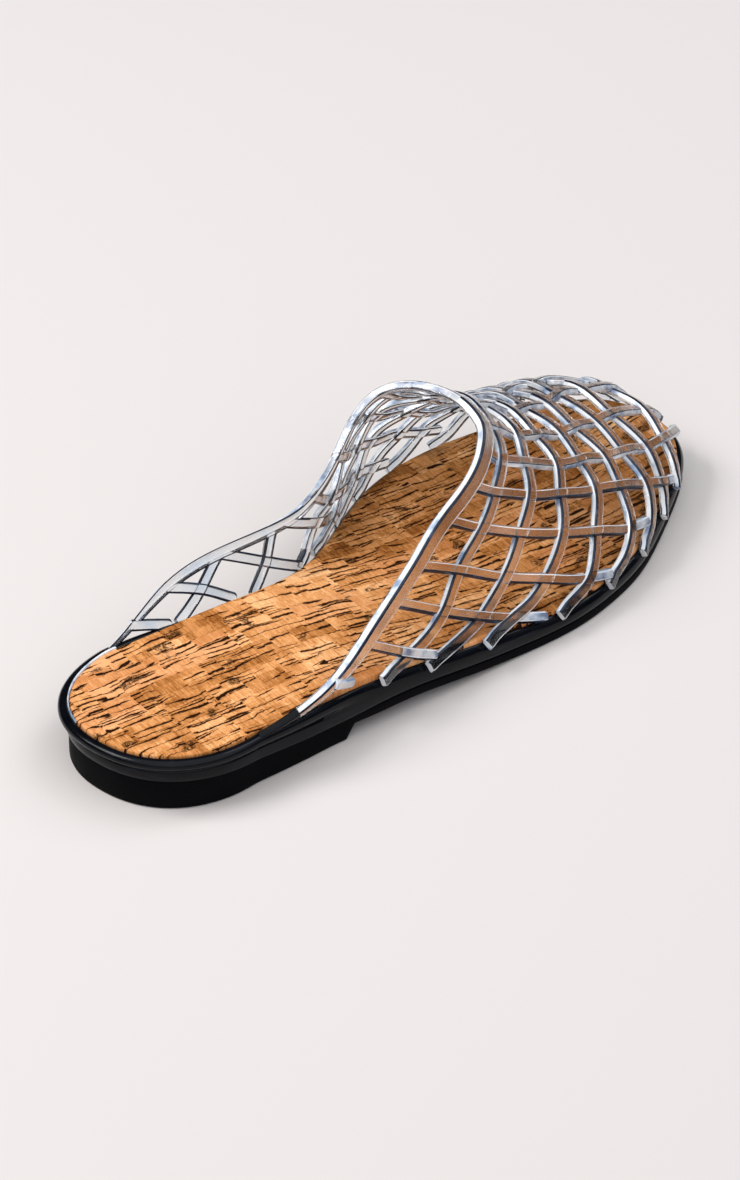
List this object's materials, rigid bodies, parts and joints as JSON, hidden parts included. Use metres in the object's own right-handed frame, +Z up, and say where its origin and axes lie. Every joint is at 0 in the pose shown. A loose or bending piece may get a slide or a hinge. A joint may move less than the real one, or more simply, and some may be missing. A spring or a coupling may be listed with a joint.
{
  "type": "jelly mule",
  "caption": "Right slip-on mule: clear moulded basket-weave cage upper with an open back, cork insole in a glossy dark midsole, and a matte black outsole with a low heel.",
  "frame": {"origin": "on the floor, under the middle of the shoe's bounding box", "axes": "+X from the heel to the toe, +Y to the wearer's left, which is the arch side of this right shoe, +Z up"},
  "size_m": [0.2558, 0.0976, 0.0643],
  "materials": {
    "outsole_rubber": "matte moulded rubber",
    "midsole_gloss": "glossy dark smoky moulded PVC",
    "insole_cork": "matt patchwork cork",
    "upper_clear": "clear glossy moulded PVC with a faint blue-grey tint"
  },
  "bodies": {
    "root": {"outsole": "outsole_rubber", "midsole": "midsole_gloss", "insole": "insole_cork", "upper": "upper_clear"}
  },
  "joints": []
}
